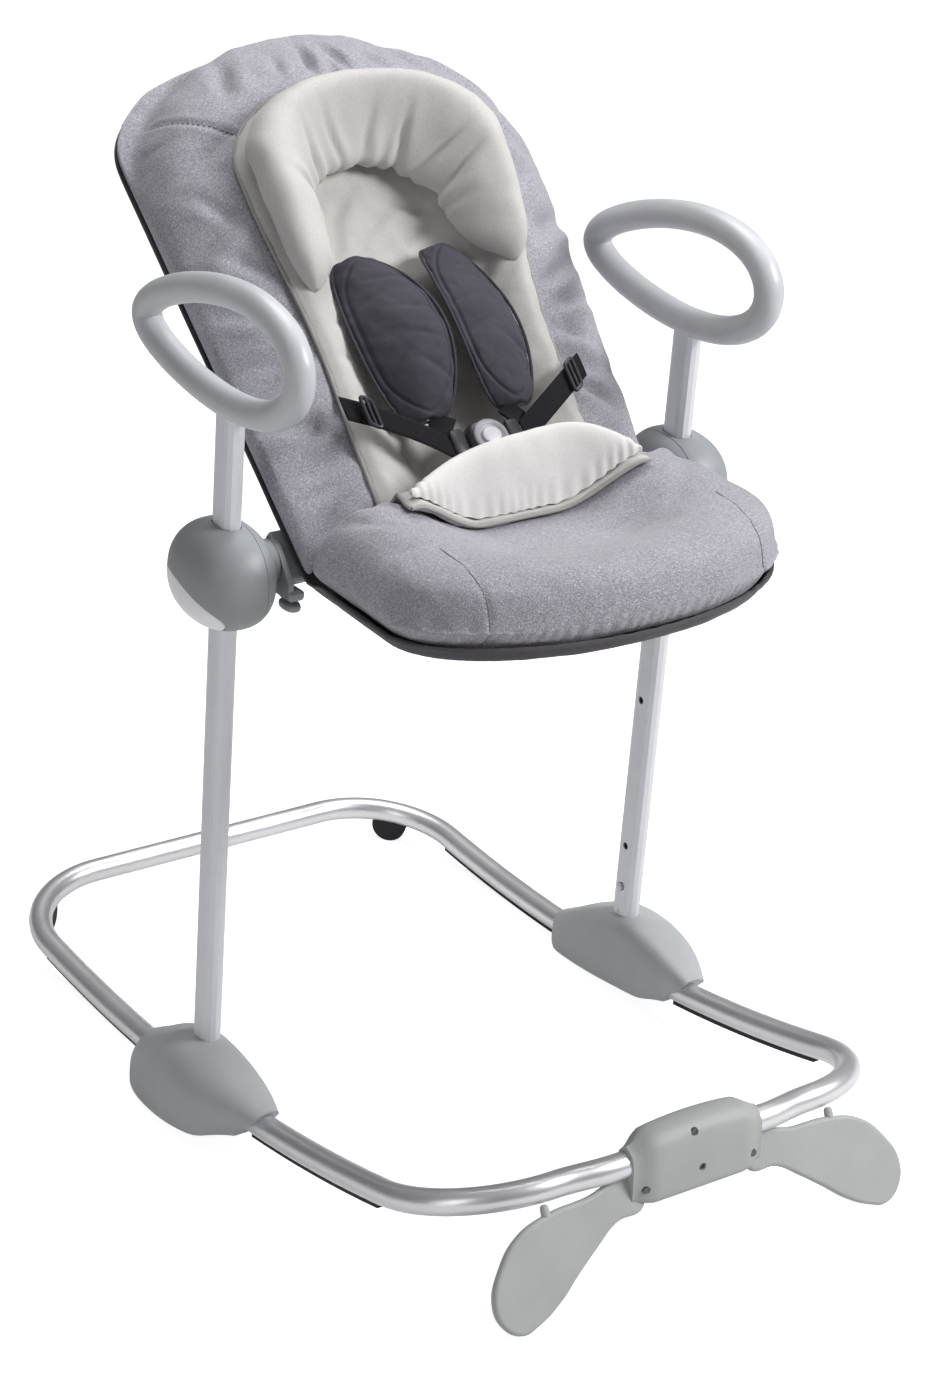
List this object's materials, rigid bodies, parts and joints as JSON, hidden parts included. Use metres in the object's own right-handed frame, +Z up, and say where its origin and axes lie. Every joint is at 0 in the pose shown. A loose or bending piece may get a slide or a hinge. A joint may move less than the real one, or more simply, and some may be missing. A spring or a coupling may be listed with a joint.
{
  "type": "baby bouncer",
  "caption": "Padded reclining baby seat held between two posts, height adjustable, on a tubular rocking base with a foot-operated stop pedal, ring handles and a buckled harness.",
  "frame": {"origin": "on the floor under the middle of the bouncer's box, between the two posts' planes", "axes": "+Z up; the sitter faces -Y, towards the stop pedal; +X is the sitter's left"},
  "size_m": [0.616, 0.947, 0.9729],
  "materials": {
    "aluminium": "satin anodised",
    "post_silver": "satin silver powder coat",
    "hub_grey": "fine matt grain, mid grey",
    "pod_grey": "matt grey",
    "ring_grey": "satin light grey",
    "button_white": "smooth off-white",
    "rubber_black": "matt black",
    "steel": "plain steel",
    "cover_melange": "grey melange weave, padded",
    "cover_dark": "dark grey plain weave",
    "insert_grey": "light grey jersey, padded",
    "pad_slate": "dark slate, padded",
    "webbing_black": "black ribbed webbing",
    "buckle_grey": "dark grey, half-gloss"
  },
  "bodies": {
    "base": {"base_front_tube": "aluminium", "base_rear_tube": "aluminium", "grip_strip_front_left": "rubber_black", "grip_strip_rear_left": "rubber_black", "rear_stop_left": "rubber_black", "hub_left": "hub_grey", "post_left": "post_silver", "post_stub_left": "steel", "ring_left": "ring_grey", "grip_strip_front_right": "rubber_black", "grip_strip_rear_right": "rubber_black", "rear_stop_right": "rubber_black", "hub_right": "hub_grey", "post_right": "post_silver", "post_stub_right": "steel", "ring_right": "ring_grey"},
    "pedal": {"stop_pedal_front": "hub_grey", "stop_pedal_clamp": "hub_grey", "stop_pedal_screw_1": "steel", "stop_pedal_screw_2": "steel", "stop_pedal_screw_3": "steel", "stop_pedal_screw_4": "steel"},
    "carriage": {"pod_outer_left": "pod_grey", "pod_inner_left": "pod_grey", "pod_outer_right": "pod_grey", "pod_inner_right": "pod_grey"},
    "seat": {"seat_frame": "steel", "under_cover": "cover_dark", "back_cushion": "cover_melange", "leg_cushion": "cover_melange", "insert_pad": "insert_grey", "head_pillow": "insert_grey", "leg_roll": "insert_grey", "crotch_strap": "webbing_black", "buckle_body": "buckle_grey", "hinge_arm_left": "post_silver", "arm_bolt_left": "steel", "shoulder_pad_left": "pad_slate", "shoulder_strap_left": "webbing_black", "waist_strap_left": "webbing_black", "strap_slider_left": "buckle_grey", "buckle_tongue_left": "buckle_grey", "hinge_arm_right": "post_silver", "arm_bolt_right": "steel", "shoulder_pad_right": "pad_slate", "shoulder_strap_right": "webbing_black", "waist_strap_right": "webbing_black", "strap_slider_right": "buckle_grey", "buckle_tongue_right": "buckle_grey"},
    "snap_button_left": {"snap_button_left": "steel"},
    "height_button_left": {"height_button_left": "button_white"},
    "lock_pin_left": {"lock_pin_left": "steel"},
    "recline_button_left": {"recline_button_left": "pod_grey"},
    "snap_button_right": {"snap_button_right": "steel"},
    "height_button_right": {"height_button_right": "button_white"},
    "lock_pin_right": {"lock_pin_right": "steel"},
    "recline_button_right": {"recline_button_right": "pod_grey"},
    "buckle_button": {"buckle_button": "button_white"}
  },
  "joints": [
    {"name": "stop_pedal_hinge", "type": "hinge", "parent": "base", "child": "pedal", "pos_m": [0, -0.42993, 0.11182], "axis": [-1, 0, 0], "range_deg": [0, 120]},
    {"name": "seat_height_slide", "type": "slide", "parent": "base", "child": "carriage", "axis": [0, -0.0845, 0.9964], "range_m": [-0.4075, 0]},
    {"name": "recline_hinge", "type": "hinge", "parent": "carriage", "child": "seat", "pos_m": [0, -0.03593, 0.585], "axis": [1, 0, 0], "range_deg": [-27, 0]},
    {"name": "snap_button_slide_left", "type": "slide", "parent": "base", "child": "snap_button_left", "axis": [-1, 0, 0], "range_m": [0, 0.003], "stiffness_N_per_m": 400, "springref_m": -0.002},
    {"name": "height_button_slide_left", "type": "slide", "parent": "carriage", "child": "height_button_left", "axis": [0.788, -0.0521, 0.6135], "range_m": [0, 0.0035], "stiffness_N_per_m": 600, "springref_m": -0.002},
    {"name": "lock_pin_slide_left", "type": "slide", "parent": "carriage", "child": "lock_pin_left", "axis": [1, 0, 0], "range_m": [0, 0.0035]},
    {"name": "recline_button_slide_left", "type": "slide", "parent": "seat", "child": "recline_button_left", "axis": [0, 0, 1], "range_m": [0, 0.003], "stiffness_N_per_m": 500, "springref_m": -0.002},
    {"name": "snap_button_slide_right", "type": "slide", "parent": "base", "child": "snap_button_right", "axis": [1, 0, 0], "range_m": [0, 0.003], "stiffness_N_per_m": 400, "springref_m": -0.002},
    {"name": "height_button_slide_right", "type": "slide", "parent": "carriage", "child": "height_button_right", "axis": [-0.788, -0.0521, 0.6135], "range_m": [0, 0.0035], "stiffness_N_per_m": 600, "springref_m": -0.002},
    {"name": "lock_pin_slide_right", "type": "slide", "parent": "carriage", "child": "lock_pin_right", "axis": [-1, 0, 0], "range_m": [0, 0.0035]},
    {"name": "recline_button_slide_right", "type": "slide", "parent": "seat", "child": "recline_button_right", "axis": [0, 0, 1], "range_m": [0, 0.003], "stiffness_N_per_m": 500, "springref_m": -0.002},
    {"name": "buckle_button_slide", "type": "slide", "parent": "seat", "child": "buckle_button", "axis": [0, 0.7071, -0.7071], "range_m": [0, 0.0025], "stiffness_N_per_m": 400, "springref_m": -0.0015}
  ],
  "couplings": [
    {"joint": "lock_pin_slide_left", "follows": "height_button_slide_left", "ratio": 1},
    {"joint": "lock_pin_slide_right", "follows": "height_button_slide_right", "ratio": 1}
  ]
}
